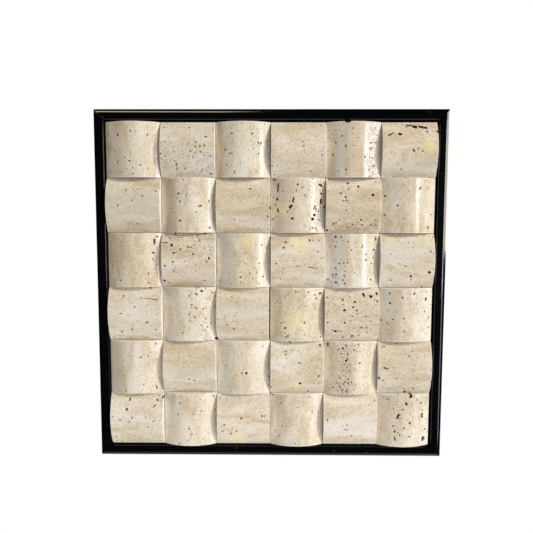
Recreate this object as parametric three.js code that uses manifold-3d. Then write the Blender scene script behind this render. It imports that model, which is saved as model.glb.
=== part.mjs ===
// A square wall panel: arched travertine tiles laid in basketweave on a board, inside a black frame.
// Lengths are in millimetres. +Z is up, the front faces -Y, and the origin is the centre of the back.
import * as THREE from "three";
import { mergeVertices } from "three/addons/utils/BufferGeometryUtils.js";
import Module from "manifold-3d";

// Tiles, with an arched face that is lowest along two opposite sides
const tilesPerSide = 6;
const tileSide = 50.4;
const jointWidth = 0.4;
const tileEdgeThickness = 8.5;
const crownRise = 6.5;
const tileArris = 0.4;
const crownSegments = 10;

// One tile was cut short, which leaves an open joint on its right. Rows count from the top, columns from the left.
const shortTile = { row: 4, column: 3, shortBy: 0.9 };

// Frame rails: a moulding with a big round on its outer edge and an eased inner edge
const railWidth = 10.3;
const railRise = 1;
const outerRound = 4.5;
const innerRound = 1.2;
const roundSegments = 8;
const cornerRadius = 2;
const mitreGap = 0.2;

// Room between the tiles and the rails. The tiles sit a little to the left in the opening.
const gapLeft = 1.5;
const gapRight = 2.4;
const gapBelow = 2.3;
const gapAbove = 2.3;

// Board, flush with the frame's back in a rabbet behind the rails' lip
const boardThickness = 6;
const rabbetWidth = 5;
const boardClearance = 0.5;

const fieldSide = tilesPerSide * tileSide + (tilesPerSide - 1) * jointWidth;
const openingWidth = gapLeft + fieldSide + gapRight;
const openingHeight = gapBelow + fieldSide + gapAbove;
const outerWidth = openingWidth + 2 * railWidth;
const outerHeight = openingHeight + 2 * railWidth;
const railDepth = boardThickness + tileEdgeThickness + railRise;
const fieldLeft = gapLeft - openingWidth / 2;
const fieldTop = openingHeight / 2 - gapAbove;

const travertine = new THREE.MeshStandardMaterial({ color: 0xd6c6a4, roughness: 0.45, metalness: 0 });
const blackLacquer = new THREE.MeshStandardMaterial({ color: 0x08090b, roughness: 0.15, metalness: 0 });
const blackBoard = new THREE.MeshStandardMaterial({ color: 0x15140f, roughness: 0.8, metalness: 0 });

const wasm = await Module();
wasm.setup();

function solidOf(geometry) {
  const bare = geometry.clone();
  bare.deleteAttribute("normal");
  bare.deleteAttribute("uv");
  const merged = mergeVertices(bare, 1e-4);
  const vertProperties = new Float32Array(merged.attributes.position.array);
  const triVerts = new Uint32Array(merged.index.array);
  return new wasm.Manifold(new wasm.Mesh({ numProp: 3, vertProperties, triVerts }));
}

function geometryOf(solid) {
  const { vertProperties, triVerts } = solid.getMesh();
  const geometry = new THREE.BufferGeometry();
  geometry.setAttribute("position", new THREE.BufferAttribute(vertProperties, 3));
  geometry.setIndex(new THREE.BufferAttribute(triVerts, 1));
  geometry.computeVertexNormals();
  return geometry;
}

function named(name, geometry, material) {
  const mesh = new THREE.Mesh(geometry, material);
  mesh.name = name;
  return mesh;
}

// The arch spans X and the barrel lies along Z. The back is on y = 0.
function archedTile(span, length) {
  const half = span / 2;
  const archHalf = half - tileArris;
  const radius = (archHalf ** 2 + crownRise ** 2) / (2 * crownRise);
  const sweep = Math.asin(archHalf / radius);
  const middle = -Math.PI / 2;
  const section = new THREE.Shape();
  section.moveTo(-half, 0);
  section.lineTo(-half, tileArris - tileEdgeThickness);
  section.absarc(0, radius - crownRise - tileEdgeThickness, radius, middle - sweep, middle + sweep, false);
  section.lineTo(half, tileArris - tileEdgeThickness);
  section.lineTo(half, 0);
  const geometry = new THREE.ExtrudeGeometry(section, {
    depth: length - 2 * tileArris,
    curveSegments: crownSegments,
    bevelThickness: tileArris,
    bevelSize: tileArris,
    bevelOffset: -tileArris,
    bevelSegments: 1,
  });
  return geometry.translate(0, 0, tileArris - length / 2);
}

// Each tile is turned a quarter turn from its neighbours, so that its high ends meet their low sides.
function tileAt(row, column) {
  const barrelUpright = (row + column) % 2 === 0;
  const isShort = row === shortTile.row && column === shortTile.column;
  const width = isShort ? tileSide - shortTile.shortBy : tileSide;
  const geometry = barrelUpright ? archedTile(width, tileSide) : archedTile(tileSide, width);
  const tile = named(`tile_row${row}_column${column}`, geometry, travertine);
  const pitch = tileSide + jointWidth;
  const x = fieldLeft + (column - 1) * pitch + width / 2;
  const z = fieldTop - (row - 1) * pitch - tileSide / 2;
  tile.position.set(x, -boardThickness, z);
  tile.rotation.y = barrelUpright ? 0 : Math.PI / 2;
  return tile;
}

// The moulding's section: X runs in from the rail's outer edge, and the back is on y = 0.
function railSection() {
  const section = new THREE.Shape();
  section.moveTo(0, 0);
  section.lineTo(0, outerRound - railDepth);
  section.absarc(outerRound, outerRound - railDepth, outerRound, Math.PI, 1.5 * Math.PI, false);
  section.absarc(railWidth - innerRound, innerRound - railDepth, innerRound, 1.5 * Math.PI, 2 * Math.PI, false);
  section.lineTo(railWidth, -boardThickness);
  section.lineTo(railWidth - rabbetWidth, -boardThickness);
  section.lineTo(railWidth - rabbetWidth, 0);
  return section;
}

// What a rounded corner takes off a square one that stands on the origin, with the frame towards +X and +Z
function cornerWaste() {
  const beyond = -cornerRadius;
  const waste = new THREE.Shape();
  waste.moveTo(beyond, beyond);
  waste.lineTo(cornerRadius, beyond);
  waste.lineTo(cornerRadius, 0);
  waste.absarc(cornerRadius, cornerRadius, cornerRadius, 1.5 * Math.PI, Math.PI, true);
  waste.lineTo(beyond, cornerRadius);
  const geometry = new THREE.ExtrudeGeometry(waste, {
    depth: 4 * railDepth,
    curveSegments: roundSegments,
    bevelEnabled: false,
  });
  return geometry.rotateX(Math.PI / 2).translate(0, 2 * railDepth, 0);
}

// A rail whose outer edge is on x = 0, mitred at both ends and centred on its length
function railGeometry(length) {
  const geometry = new THREE.ExtrudeGeometry(railSection(), {
    depth: length,
    curveSegments: roundSegments,
    bevelEnabled: false,
  });
  const points = geometry.attributes.position;
  for (let i = 0; i < points.count; i++) {
    const end = length / 2 - points.getX(i) - mitreGap / Math.SQRT2;
    points.setZ(i, points.getZ(i) === 0 ? -end : end);
  }
  const lowerWaste = cornerWaste().translate(0, 0, -length / 2);
  const upperWaste = cornerWaste().rotateX(Math.PI).translate(0, 0, length / 2);
  return geometryOf(solidOf(geometry).subtract(solidOf(lowerWaste)).subtract(solidOf(upperWaste)));
}

function rail(side, length, turn, reach) {
  const mesh = named(`frame_${side}`, railGeometry(length), blackLacquer);
  mesh.position.x = -reach;
  const turned = new THREE.Group();
  turned.rotation.y = turn;
  turned.add(mesh);
  return turned;
}

function frame() {
  const rails = new THREE.Group();
  rails.add(rail("left", outerHeight, 0, outerWidth / 2));
  rails.add(rail("top", outerWidth, Math.PI / 2, outerHeight / 2));
  rails.add(rail("right", outerHeight, Math.PI, outerWidth / 2));
  rails.add(rail("bottom", outerWidth, -Math.PI / 2, outerHeight / 2));
  return rails;
}

function board() {
  const overlap = rabbetWidth - boardClearance;
  const geometry = new THREE.BoxGeometry(
    openingWidth + 2 * overlap,
    boardThickness,
    openingHeight + 2 * overlap,
  );
  const mesh = named("backing_board", geometry, blackBoard);
  mesh.position.y = -boardThickness / 2;
  return mesh;
}

function tiles() {
  const field = new THREE.Group();
  for (let row = 1; row <= tilesPerSide; row++) {
    for (let column = 1; column <= tilesPerSide; column++) {
      field.add(tileAt(row, column));
    }
  }
  return field;
}

const panel = new THREE.Group();
panel.add(board(), frame(), tiles());

export default panel;
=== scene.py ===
import math
import random

import bmesh
import bpy
from mathutils import Matrix, Vector


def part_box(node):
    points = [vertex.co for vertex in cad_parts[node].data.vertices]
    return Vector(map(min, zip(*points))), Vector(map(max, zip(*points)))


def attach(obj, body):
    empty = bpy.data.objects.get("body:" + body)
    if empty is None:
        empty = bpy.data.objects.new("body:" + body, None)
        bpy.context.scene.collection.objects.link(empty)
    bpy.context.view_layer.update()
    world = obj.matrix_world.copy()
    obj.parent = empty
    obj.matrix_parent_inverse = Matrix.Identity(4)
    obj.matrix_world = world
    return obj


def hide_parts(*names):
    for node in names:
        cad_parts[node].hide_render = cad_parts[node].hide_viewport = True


# A framed panel of arched travertine tiles. Metres, +Z up, the tiled front faces -Y, the back lies on y = 0

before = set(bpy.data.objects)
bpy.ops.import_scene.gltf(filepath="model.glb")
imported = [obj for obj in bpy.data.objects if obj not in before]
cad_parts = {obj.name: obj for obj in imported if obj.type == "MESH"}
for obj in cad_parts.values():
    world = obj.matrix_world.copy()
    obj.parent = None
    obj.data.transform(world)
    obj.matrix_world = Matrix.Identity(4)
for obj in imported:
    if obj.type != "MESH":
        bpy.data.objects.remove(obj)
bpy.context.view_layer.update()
mm = 0.001


def linear(hexColour):  # sRGB hex to linear RGBA
    channels = [int(hexColour[i:i + 2], 16) / 255 for i in (1, 3, 5)]
    return [c / 12.92 if c <= 0.04045 else ((c + 0.055) / 1.055) ** 2.4 for c in channels] + [1]


def addNode(tree, kind, settings=None, links=None):
    made = tree.nodes.new(kind)
    for name, value in (settings or {}).items():
        setattr(made, name, value)
    for name, value in (links or {}).items():
        if isinstance(name, int):
            socket = made.inputs[name]
        else:
            socket = next(s for s in made.inputs if s.enabled and name in (s.name, s.identifier))
        if isinstance(value, bpy.types.Node):
            value = next(s for s in value.outputs if s.enabled)
        if isinstance(value, bpy.types.NodeSocket):
            tree.links.new(value, socket)
        else:
            socket.default_value = value
    return made


def setStops(ramp, stops):  # stops are (place, hex colour)
    elements = ramp.color_ramp.elements
    while len(elements) < len(stops):
        elements.new(1)
    for element, (place, hexColour) in zip(elements, stops):
        element.position = place
        element.color = linear(hexColour)
    return ramp


def newMaterial(name):
    material = bpy.data.materials.new(name)
    material.use_nodes = True
    return material, material.node_tree, material.node_tree.nodes["Principled BSDF"]


# Camera, where the photo was taken from
viewpoint = {
    "place": (-0.4 * mm, -459.9 * mm, 54.3 * mm),
    "turn": (85.532, -0.129, 0.484),  # degrees about X, Y and Z
    "lens": 32.135,
    "sensorWidth": 36,
    "nearest": 10 * mm,
}

cameraData = bpy.data.cameras.new("camera")
cameraData.lens = viewpoint["lens"]
cameraData.sensor_width = viewpoint["sensorWidth"]
cameraData.clip_start = viewpoint["nearest"]
camera = bpy.data.objects.new("camera", cameraData)
camera.location = viewpoint["place"]
camera.rotation_euler = [math.radians(angle) for angle in viewpoint["turn"]]
bpy.context.collection.objects.link(camera)
bpy.context.scene.camera = camera
print("camera placed")


# Travertine: a banded limestone full of small holes, sawn to an arch, honed and waxed. It is matt to the
# eye, with soft bright streaks where the wax catches a light.
travertine = {
    "bandWidth": 13 * mm,
    "bandLength": 38 * mm,
    "veinWidth": 1.2 * mm,
    "veinLength": 5 * mm,
    "mottleSize": 5 * mm,
    "grainSize": 1.3 * mm,  # drawn a little coarser than the crystals are, so that it shows
    "veinContrast": 0.35,
    "mottleContrast": 0.25,
    "grainContrast": 0.7,
    "patchiness": (0.45, 1),  # how much of a band's own colour shows, from dark stone to light
    "patchEdge": 0.1,
    "speckSpacing": 1.5 * mm,
    "speckLengthening": 0.7,  # less than 1 draws them out along the bedding
    "speckShare": (0.02, 0.4),  # of the spaces that hold one, from faint mottle to strong
    "speckMottle": (0.42, 0.66),  # what counts as faint and as strong
    "speckEdge": (0.28, 0.12),  # outer and inner radius, as shares of the spacing
    "speckDarkness": 0.5,
    "crinkleSize": 1.5 * mm,
    "crinkleLengthening": 0.6,
    "crinkleLevel": 0.62,  # the higher, the fewer
    "crinkleLevelDrop": 0.25,  # in a pitted band
    "crinkleEdge": 0.08,
    "crinkleDepth": 0.7,
    "grainRelief": 0.12,
    "reliefDepth": 0.25 * mm,
    "reliefStrength": 0.9,
    "stops": (
        (0.32, "#cab798"),
        (0.44, "#d7c8ac"),
        (0.52, "#ddd0b7"),
        (0.60, "#e1d6c2"),
        (0.74, "#e8dfd1"),
    ),
    "brown": "#b89e7a",
    "grey": "#cccbc2",
    "pale": "#eee9df",
    "yellowSpotColour": "#ecdfa8",
    # Painted shade: the dark warm brown of the holes, which specks and crinkles take on in part
    "hole": "#5c3a0c",
    "roughness": 0.5,
    "roughnessSpread": 0.16,
    "holeRoughness": 0.3,  # added in a hole
    "waxWeight": 0.6,
    "waxRoughness": 0.12,
    "bareFrom": 0.5,  # a hole with more painted shade than this holds no wax
    "specular": 0.2,
    "index": 1.5,
}


def travertineMaterial():
    material, tree, shader = newMaterial("travertineHoned")
    own = travertine

    read = {name: addNode(tree, "ShaderNodeAttribute", {"attribute_name": name}).outputs
            for name in ("stone", "bands", "marks", "pitted")}
    stone = read["stone"]["Vector"]
    bandParts = addNode(tree, "ShaderNodeSeparateXYZ", {}, {"Vector": read["bands"]["Vector"]})
    brownBand, greyBand, paleBand = bandParts.outputs
    markParts = addNode(tree, "ShaderNodeSeparateXYZ", {}, {"Vector": read["marks"]["Vector"]})
    paintedHoleShade, yellowSpotMask, tone = markParts.outputs
    pitted = read["pitted"]["Fac"]

    # The stone's bedding runs along the barrel: broad bands, and fine veins in them
    bandScale = [1 / own[size] for size in ("bandWidth", "bandLength", "bandWidth")]
    veinScale = [1 / own[size] for size in ("veinWidth", "veinLength", "veinWidth")]
    bandPlace = addNode(tree, "ShaderNodeVectorMath", {"operation": "MULTIPLY"}, {0: stone, 1: bandScale})
    veinPlace = addNode(tree, "ShaderNodeVectorMath", {"operation": "MULTIPLY"}, {0: stone, 1: veinScale})
    broad = addNode(tree, "ShaderNodeTexNoise", {}, {
        "Vector": bandPlace, "Scale": 1, "Detail": 4, "Roughness": 0.55, "Distortion": 0.6})
    veins = addNode(tree, "ShaderNodeTexNoise", {}, {
        "Vector": veinPlace, "Scale": 1, "Detail": 3, "Roughness": 0.6, "Distortion": 0.8})
    mottle = addNode(tree, "ShaderNodeTexNoise", {}, {
        "Vector": stone, "Scale": 1 / own["mottleSize"], "Detail": 4, "Roughness": 0.6})
    grain = addNode(tree, "ShaderNodeTexNoise", {}, {
        "Vector": stone, "Scale": 1 / own["grainSize"], "Detail": 2})
    centring = -0.5 * (own["veinContrast"] + own["mottleContrast"] + own["grainContrast"])
    layered = addNode(tree, "ShaderNodeMath", {"operation": "MULTIPLY_ADD"}, {
        0: veins, 1: own["veinContrast"], 2: centring})
    mottled = addNode(tree, "ShaderNodeMath", {"operation": "MULTIPLY_ADD"}, {
        0: mottle, 1: own["mottleContrast"], 2: layered})
    summed = addNode(tree, "ShaderNodeMath", {"operation": "MULTIPLY_ADD"}, {
        0: grain, 1: own["grainContrast"], 2: mottled})
    toned = addNode(tree, "ShaderNodeMath", {}, {0: summed, 1: tone})
    shade = addNode(tree, "ShaderNodeMath", {}, {0: toned, 1: broad})
    cream = setStops(addNode(tree, "ShaderNodeValToRGB", {}, {"Fac": shade}), own["stops"])

    colour = cream.outputs["Color"]
    patchy = addNode(tree, "ShaderNodeMapRange", {}, {
        "Value": summed, "From Min": -own["patchEdge"], "From Max": own["patchEdge"],
        "To Min": own["patchiness"][0], "To Max": own["patchiness"][1]})
    # Bands of other colours, partly the stone's own and partly painted shade and painted light, as the tile
    # marks place them
    for band, name in ((brownBand, "brown"), (greyBand, "grey"), (paleBand, "pale")):
        amount = addNode(tree, "ShaderNodeMath", {"operation": "MULTIPLY"}, {0: band, 1: patchy})
        colour = addNode(tree, "ShaderNodeMix", {"data_type": "RGBA"}, {
            "Factor": amount, "A": colour, "B": linear(own[name])})
    # Pale yellow spots at given places
    yellowSpotted = addNode(tree, "ShaderNodeMix", {"data_type": "RGBA"}, {
        "Factor": yellowSpotMask, "A": colour, "B": linear(own["yellowSpotColour"])})

    # Specks: holes of half a millimetre, more of them where the mottle is strong, drawn dark, partly their
    # own colour and partly painted shade
    speckScale = [share / own["speckSpacing"] for share in (1, own["speckLengthening"], 1)]
    speckPlace = addNode(tree, "ShaderNodeVectorMath", {"operation": "MULTIPLY"}, {0: stone, 1: speckScale})
    specks = addNode(tree, "ShaderNodeTexVoronoi", {}, {"Vector": speckPlace, "Scale": 1})
    speckKind = addNode(tree, "ShaderNodeSeparateColor", {}, {"Color": specks.outputs["Color"]})
    speckShare = addNode(tree, "ShaderNodeMapRange", {}, {
        "Value": mottle, "From Min": own["speckMottle"][0], "From Max": own["speckMottle"][1],
        "To Min": own["speckShare"][0], "To Max": own["speckShare"][1]})
    speckThere = addNode(tree, "ShaderNodeMath", {"operation": "LESS_THAN"}, {
        0: speckKind.outputs["Red"], 1: speckShare})
    speckShape = addNode(tree, "ShaderNodeMapRange", {"interpolation_type": "SMOOTHSTEP"}, {
        "Value": specks.outputs["Distance"],
        "From Min": own["speckEdge"][0], "From Max": own["speckEdge"][1]})
    dot = addNode(tree, "ShaderNodeMath", {"operation": "MULTIPLY"}, {0: speckThere, 1: speckShape})

    # Crinkles: shallow crooked pores that polishing has opened, close together in the pitted bands, drawn
    # dark, partly their own colour and partly painted shade
    crinkleScale = [share / own["crinkleSize"] for share in (1, own["crinkleLengthening"], 1)]
    crinklePlace = addNode(tree, "ShaderNodeVectorMath", {"operation": "MULTIPLY"}, {
        0: stone, 1: crinkleScale})
    crooked = addNode(tree, "ShaderNodeTexNoise", {}, {
        "Vector": crinklePlace, "Scale": 1, "Detail": 1.5, "Distortion": 1.2})
    crinkleFrom = addNode(tree, "ShaderNodeMath", {"operation": "MULTIPLY_ADD"}, {
        0: pitted, 1: -own["crinkleLevelDrop"], 2: own["crinkleLevel"]})
    crinkleLevel = addNode(tree, "ShaderNodeMath", {"operation": "SUBTRACT"}, {0: crooked, 1: crinkleFrom})
    crinkle = addNode(tree, "ShaderNodeMapRange", {"interpolation_type": "SMOOTHSTEP"}, {
        "Value": crinkleLevel, "From Max": own["crinkleEdge"], "To Max": own["crinkleDepth"]})
    speck = addNode(tree, "ShaderNodeMath", {"operation": "MAXIMUM"}, {0: dot, 1: crinkle})
    speckDark = addNode(tree, "ShaderNodeMath", {"operation": "MULTIPLY"}, {
        0: speck, 1: own["speckDarkness"]})
    # Painted shade: holes are drawn in a dark warm brown, and specks and crinkles partly so
    dark = addNode(tree, "ShaderNodeMath", {"operation": "MAXIMUM"}, {0: speckDark, 1: paintedHoleShade})
    finished = addNode(tree, "ShaderNodeMix", {"data_type": "RGBA"}, {
        "Factor": dark, "A": yellowSpotted, "B": linear(own["hole"])})

    relief = addNode(tree, "ShaderNodeMath", {"operation": "MULTIPLY_ADD"}, {0: speck, 1: -1, 2: 0.5})
    grainy = addNode(tree, "ShaderNodeMath", {"operation": "MULTIPLY_ADD"}, {
        0: grain, 1: own["grainRelief"], 2: relief})
    bump = addNode(tree, "ShaderNodeBump", {}, {
        "Height": grainy, "Distance": own["reliefDepth"], "Strength": own["reliefStrength"]})
    polish = addNode(tree, "ShaderNodeMath", {"operation": "MULTIPLY_ADD"}, {
        0: mottle, 1: own["roughnessSpread"], 2: own["roughness"] - own["roughnessSpread"] / 2})
    roughness = addNode(tree, "ShaderNodeMath", {"operation": "MULTIPLY_ADD", "use_clamp": True}, {
        0: dark, 1: own["holeRoughness"], 2: polish})
    wax = addNode(tree, "ShaderNodeMapRange", {}, {
        "Value": dark, "From Max": own["bareFrom"], "To Min": own["waxWeight"], "To Max": 0})

    tree.links.new(finished.outputs[2], shader.inputs["Base Color"])
    tree.links.new(roughness.outputs[0], shader.inputs["Roughness"])
    tree.links.new(bump.outputs[0], shader.inputs["Normal"])
    tree.links.new(wax.outputs[0], shader.inputs["Coat Weight"])
    shader.inputs["Coat Roughness"].default_value = own["waxRoughness"]
    shader.inputs["Specular IOR Level"].default_value = own["specular"]
    shader.inputs["IOR"].default_value = own["index"]
    return material


stoneMaterial = travertineMaterial()


# Tiles: one Geometry Nodes tree makes each of them from its own sizes and marks
tile = {
    "crownRise": 6.5 * mm,
    "arris": 0.4 * mm,  # rubbed round by hand
    "rows": 6,  # and as many columns
    "cells": 108,  # along each side of the face
    "edgeCells": 5,  # of these, the fine ones along each edge
    "edgeCell": 0.13 * mm,
    "leastArris": 0.25 * mm,  # where it is worn least
    "wornAt": (0.3, 0.6),  # wear, from 0 to 1, at which the arris is the least and the full one
    "chip": 0.7 * mm,  # what the biggest chips add to it
    "chippedAt": (0.66, 0.74),
    "lowerCrown": 0.3 * mm,  # the most that a crown is sanded down below the others
    "waviness": 0.06 * mm,
    "waveScale": 0.06 / mm,
    "wearScale": 0.32 / mm,
    "driftScale": 0.07 / mm,  # how fast the bands wander
    "drift": 0.12,  # and how far, as a share of the width
    "wobbleScale": 0.7 / mm,  # how crooked the cavities are
    "wobble": 1.6 * mm,
    "cavityEdge": (-0.3 * mm, 0.2 * mm),  # from the outline outwards and inwards
    "cavityRim": 1.1 * mm,
    "cavitySteepness": 2.4,  # depth as a share of half the width
    "cavityDepth": 2.2 * mm,  # at most
    "pitCell": 2.2 * mm,
    "pitLengthening": 0.5,  # less than 1 draws them out along the bedding
    "pitRadius": (0.11, 0.3),  # as shares of the cell, as the next two are
    "pitEdge": (-0.06, 0.12),
    "pitRim": 0.25,
    "pitDepth": (0.35 * mm, 1.1 * mm),
    "pitting": 0.035,  # share of cells that hold a pit where no pitted band is named
    "bandPitting": 0.5,  # added to it in the strongest pitted band
    # How pale the arris (partly wear, partly painted highlight) and the painted highlight rims around
    # cavities and pits are drawn
    "rimPaleness": {"arris": 0.9, "cavity": 0.6, "pit": 0.7},
    "paleEdgeWidth": (0.9 * mm, 0.3 * mm),  # where the arris's paleness, partly wear and partly painted highlight, starts, and is full
    "yellowSpotStrength": 0.7,
    "yellowSpotEdge": (1.6, 0.4),  # where it starts and is full, as shares of its radius
    "yellowSpotRaggedness": 0.8,
    "holeShadeDepth": 0.3 * mm,  # the painted shade in a hole is full from this depth
    "bandSoftness": 0.06,
    "toneSpread": 0.05,
    "sharpAngle": 60,  # degrees, where shading breaks
    "mergeGap": 0.01 * mm,
    "shift": (0.131, 0.217, 0.173),  # from one tile's stone to the next one's, metres
    "seed": 5,
}


def bandMask(tree, share, band):  # band is (middle, half width, strength), as shares of the width across
    parts = addNode(tree, "ShaderNodeSeparateXYZ", {}, {"Vector": band})
    offset = addNode(tree, "ShaderNodeMath", {"operation": "SUBTRACT"}, {0: share, 1: parts.outputs["X"]})
    apart = addNode(tree, "ShaderNodeMath", {"operation": "ABSOLUTE"}, {0: offset})
    inside = addNode(tree, "ShaderNodeMath", {"operation": "SUBTRACT"}, {0: parts.outputs["Y"], 1: apart})
    return addNode(tree, "ShaderNodeMapRange", {"interpolation_type": "SMOOTHSTEP"}, {
        "Value": inside, "From Min": -tile["bandSoftness"], "From Max": tile["bandSoftness"],
        "To Max": parts.outputs["Z"]})


def archedTileTree():
    tree = bpy.data.node_groups.new("archedTile", "GeometryNodeTree")
    tree.interface.new_socket("Cavities", in_out="INPUT", socket_type="NodeSocketGeometry")
    kinds = {
        "Float": ("Across", "Along", "Edge thickness", "Crown rise", "Arris", "Edge cell", "Waviness",
                  "Pit cell", "Pit depth", "Pitting", "Tone", "Turn"),
        "Int": ("Cells", "Edge cells", "Seed"),
        "Vector": ("Brown band", "Grey band", "Pale band", "Pitted band", "Yellow spot", "Centre"),
        "Material": ("Material",),
    }
    for kind, names in kinds.items():
        for name in names:
            tree.interface.new_socket(name, in_out="INPUT", socket_type="NodeSocket" + kind)
    tree.interface.new_socket("Tile", in_out="OUTPUT", socket_type="NodeSocketGeometry")
    given = tree.nodes.new("NodeGroupInput").outputs

    # A flat grid, with finer cells along its edges so that the arris comes out round
    corners = addNode(tree, "ShaderNodeMath", {}, {0: given["Cells"], 1: 1})
    grid = addNode(tree, "GeometryNodeMeshGrid", {}, {
        "Size X": 1, "Size Y": 1, "Vertices X": corners, "Vertices Y": corners})
    here = addNode(tree, "GeometryNodeInputPosition")
    fromMiddle = addNode(tree, "ShaderNodeVectorMath", {"operation": "ABSOLUTE"}, {0: here})
    side = addNode(tree, "ShaderNodeVectorMath", {"operation": "SIGN"}, {0: here})
    inwards = addNode(tree, "ShaderNodeVectorMath", {"operation": "SUBTRACT"}, {
        0: (0.5, 0.5, 0), 1: fromMiddle})
    cellsIn = addNode(tree, "ShaderNodeVectorMath", {"operation": "SCALE"}, {
        0: inwards, "Scale": given["Cells"]})
    fine = addNode(tree, "ShaderNodeVectorMath", {"operation": "MINIMUM"}, {
        0: cellsIn, 1: given["Edge cells"]})
    coarse = addNode(tree, "ShaderNodeVectorMath", {"operation": "SUBTRACT"}, {0: cellsIn, 1: fine})
    size = addNode(tree, "ShaderNodeCombineXYZ", {}, {"X": given["Across"], "Y": given["Along"]})
    half = addNode(tree, "ShaderNodeVectorMath", {"operation": "SCALE"}, {0: size, "Scale": 0.5})
    rim = addNode(tree, "ShaderNodeMath", {"operation": "MULTIPLY"}, {
        0: given["Edge cells"], 1: given["Edge cell"]})
    inner = addNode(tree, "ShaderNodeVectorMath", {"operation": "SUBTRACT"}, {0: half, 1: rim})
    coarseCount = addNode(tree, "ShaderNodeMath", {"operation": "MULTIPLY"}, {0: given["Cells"], 1: 0.5})
    coarseLeft = addNode(tree, "ShaderNodeMath", {"operation": "SUBTRACT"}, {
        0: coarseCount, 1: given["Edge cells"]})
    coarseCell = addNode(tree, "ShaderNodeVectorMath", {"operation": "DIVIDE"}, {0: inner, 1: coarseLeft})
    fineReach = addNode(tree, "ShaderNodeVectorMath", {"operation": "SCALE"}, {
        0: fine, "Scale": given["Edge cell"]})
    fromEdge = addNode(tree, "ShaderNodeVectorMath", {"operation": "MULTIPLY_ADD"}, {
        0: coarse, 1: coarseCell, 2: fineReach})
    reach = addNode(tree, "ShaderNodeVectorMath", {"operation": "SUBTRACT"}, {0: half, 1: fromEdge})
    spot = addNode(tree, "ShaderNodeVectorMath", {"operation": "MULTIPLY"}, {0: side, 1: reach})
    flat = addNode(tree, "GeometryNodeSetPosition", {}, {"Geometry": grid, "Position": spot})

    # Where each point lies, with a random shift for each tile
    parts = addNode(tree, "ShaderNodeSeparateXYZ", {}, {"Vector": here})
    shift = addNode(tree, "ShaderNodeVectorMath", {"operation": "SCALE"}, {
        0: tile["shift"], "Scale": given["Seed"]})
    stone = addNode(tree, "ShaderNodeVectorMath", {"operation": "ADD"}, {0: here, 1: shift})
    wobble = addNode(tree, "ShaderNodeTexNoise", {}, {
        "Vector": stone, "Scale": tile["wobbleScale"], "Detail": 2})
    wobbleOff = addNode(tree, "ShaderNodeVectorMath", {"operation": "SUBTRACT"}, {
        0: wobble.outputs["Color"], 1: (0.5, 0.5, 0.5)})
    wobbleFlat = addNode(tree, "ShaderNodeVectorMath", {"operation": "MULTIPLY"}, {
        0: wobbleOff, 1: (tile["wobble"], tile["wobble"], 0)})
    wobbled = addNode(tree, "ShaderNodeVectorMath", {"operation": "ADD"}, {0: here, 1: wobbleFlat})
    drift = addNode(tree, "ShaderNodeTexNoise", {}, {
        "Vector": stone, "Scale": tile["driftScale"], "Detail": 2})
    across = addNode(tree, "ShaderNodeMath", {"operation": "DIVIDE"}, {
        0: parts.outputs["X"], 1: given["Across"]})
    drifted = addNode(tree, "ShaderNodeMath", {"operation": "MULTIPLY_ADD"}, {
        0: drift, 1: tile["drift"], 2: across})
    share = addNode(tree, "ShaderNodeMath", {}, {0: drifted, 1: 0.5 - tile["drift"] / 2})

    # Cavities that the input's edges draw, as wide as each edge says
    widths = addNode(tree, "GeometryNodeInputNamedAttribute", {"data_type": "FLOAT"}, {"Name": "halfWidth"})
    nearest = addNode(tree, "GeometryNodeSampleNearest", {"domain": "EDGE"}, {
        "Geometry": given["Cavities"], "Sample Position": wobbled})
    width = addNode(tree, "GeometryNodeSampleIndex", {"data_type": "FLOAT", "domain": "EDGE"}, {
        "Geometry": given["Cavities"], "Value": widths, "Index": nearest})
    gap = addNode(tree, "GeometryNodeProximity", {"target_element": "EDGES"}, {
        "Geometry": given["Cavities"], "Sample Position": wobbled})
    within = addNode(tree, "ShaderNodeMath", {"operation": "SUBTRACT"}, {
        0: width, 1: gap.outputs["Distance"]})
    hollow = addNode(tree, "ShaderNodeMapRange", {"interpolation_type": "SMOOTHSTEP"}, {
        "Value": within, "From Min": tile["cavityEdge"][0], "From Max": tile["cavityEdge"][1]})
    deepest = addNode(tree, "ShaderNodeMath", {"operation": "MULTIPLY"}, {
        0: width, 1: tile["cavitySteepness"]})
    deep = addNode(tree, "ShaderNodeMath", {"operation": "MINIMUM"}, {0: deepest, 1: tile["cavityDepth"]})
    cavity = addNode(tree, "ShaderNodeMath", {"operation": "MULTIPLY"}, {0: hollow, 1: deep})

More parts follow.
